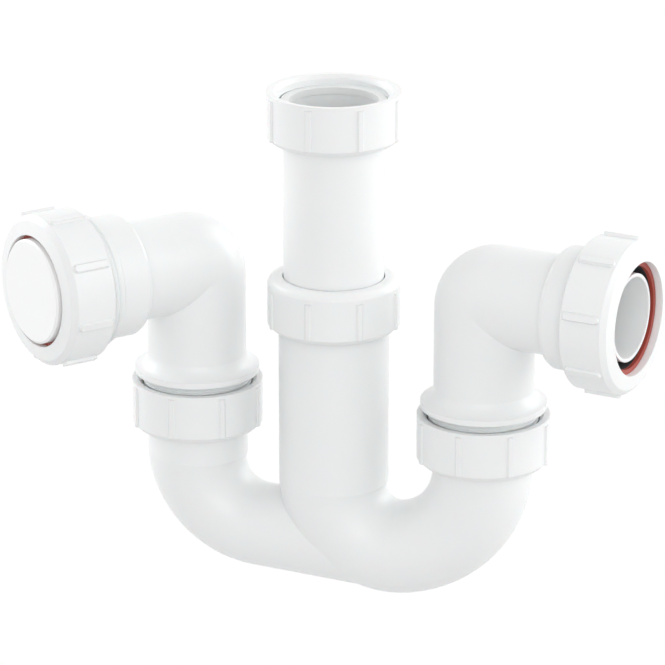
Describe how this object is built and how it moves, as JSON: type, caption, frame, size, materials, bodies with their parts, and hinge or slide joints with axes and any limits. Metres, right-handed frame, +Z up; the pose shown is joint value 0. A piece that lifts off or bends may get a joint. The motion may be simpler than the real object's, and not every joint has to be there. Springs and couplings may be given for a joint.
{
  "type": "sink trap",
  "caption": "White W-shaped sink trap with a telescopic inlet tube, a captive inlet nut, and two swivel elbow outlets, one of them closed by a blanking cap.",
  "frame": {"origin": "on the inlet's axis, level with the top face of the inlet washer, where the tail of the sink waste seats", "axes": "+Z up along the inlet's axis, +X along the row of legs towards the open outlet, -Y to the front"},
  "size_m": [0.2766, 0.1107, 0.2225],
  "materials": {
    "white_plastic": "satin moulded polypropylene",
    "washer_plastic": "soft white polyethylene",
    "ring_plastic": "red polypropylene",
    "seal_rubber": "matt black rubber"
  },
  "bodies": {
    "trap": {"trap_body": "white_plastic", "slide_seal": "seal_rubber", "left_swivel_washer": "washer_plastic", "right_swivel_washer": "washer_plastic"},
    "inlet": {"inlet_tube": "white_plastic", "inlet_washer": "washer_plastic"},
    "inlet_collar": {"inlet_nut": "white_plastic"},
    "slide_carrier": {"slide_ring": "ring_plastic"},
    "slide_collar": {"slide_nut": "white_plastic"},
    "left_swivel": {"left_swivel_nut": "white_plastic"},
    "right_swivel": {"right_swivel_nut": "white_plastic"},
    "left_arm": {"left_elbow": "white_plastic"},
    "right_arm": {"right_elbow": "white_plastic", "right_outlet_seal": "seal_rubber"},
    "left_stop": {"left_thrust_ring": "ring_plastic", "left_outlet_seal": "seal_rubber", "blanking_cap": "white_plastic"},
    "right_stop": {"right_thrust_ring": "ring_plastic"},
    "left_collar": {"left_outlet_nut": "white_plastic"},
    "right_collar": {"right_outlet_nut": "white_plastic"}
  },
  "joints": [
    {"name": "inlet_slide", "type": "slide", "parent": "trap", "child": "inlet", "axis": [0, 0, 1], "range_m": [-0.04, 0.018]},
    {"name": "inlet_nut_turn", "type": "hinge", "parent": "inlet", "child": "inlet_collar", "pos_m": [0, 0, 0], "axis": [0, 0, 1], "continuous": true},
    {"name": "slide_ring_lift", "type": "slide", "parent": "trap", "child": "slide_carrier", "axis": [0, 0, 1], "range_m": [0, 0.007]},
    {"name": "slide_nut_turn", "type": "hinge", "parent": "slide_carrier", "child": "slide_collar", "pos_m": [0, 0, -0.0777], "axis": [0, 0, 1], "range_deg": [0, 1080]},
    {"name": "left_swivel_nut_turn", "type": "hinge", "parent": "trap", "child": "left_swivel", "pos_m": [-0.0635, 0, -0.1314], "axis": [0, 0, 1], "continuous": true},
    {"name": "right_swivel_nut_turn", "type": "hinge", "parent": "trap", "child": "right_swivel", "pos_m": [0.068, 0, -0.1314], "axis": [0, 0, 1], "continuous": true},
    {"name": "left_elbow_swivel", "type": "hinge", "parent": "trap", "child": "left_arm", "pos_m": [-0.0635, 0, -0.1314], "axis": [0, 0, 1], "range_deg": [-155, 50]},
    {"name": "right_elbow_swivel", "type": "hinge", "parent": "trap", "child": "right_arm", "pos_m": [0.068, 0, -0.1314], "axis": [0, 0, 1], "range_deg": [-95, 110]},
    {"name": "left_ring_slide", "type": "slide", "parent": "left_arm", "child": "left_stop", "axis": [-0.592, -0.8059, 0], "range_m": [-0.008, 0.005]},
    {"name": "left_outlet_nut_turn", "type": "hinge", "parent": "left_stop", "child": "left_collar", "pos_m": [-0.10494, -0.05641, -0.0778], "axis": [-0.592, -0.8059, 0], "range_deg": [-1224, 720]},
    {"name": "right_ring_slide", "type": "slide", "parent": "right_arm", "child": "right_stop", "axis": [0.9903, -0.1392, 0], "range_m": [0, 0.011]},
    {"name": "right_outlet_nut_turn", "type": "hinge", "parent": "right_stop", "child": "right_collar", "pos_m": [0.12742, -0.00835, -0.0778], "axis": [0.9903, -0.1392, 0], "range_deg": [0, 1620]}
  ],
  "couplings": [
    {"joint": "slide_ring_lift", "follows": "slide_nut_turn", "m_per_rad": 0.0003675},
    {"joint": "left_ring_slide", "follows": "left_outlet_nut_turn", "m_per_rad": 0.0003675},
    {"joint": "right_ring_slide", "follows": "right_outlet_nut_turn", "m_per_rad": 0.0003675}
  ]
}
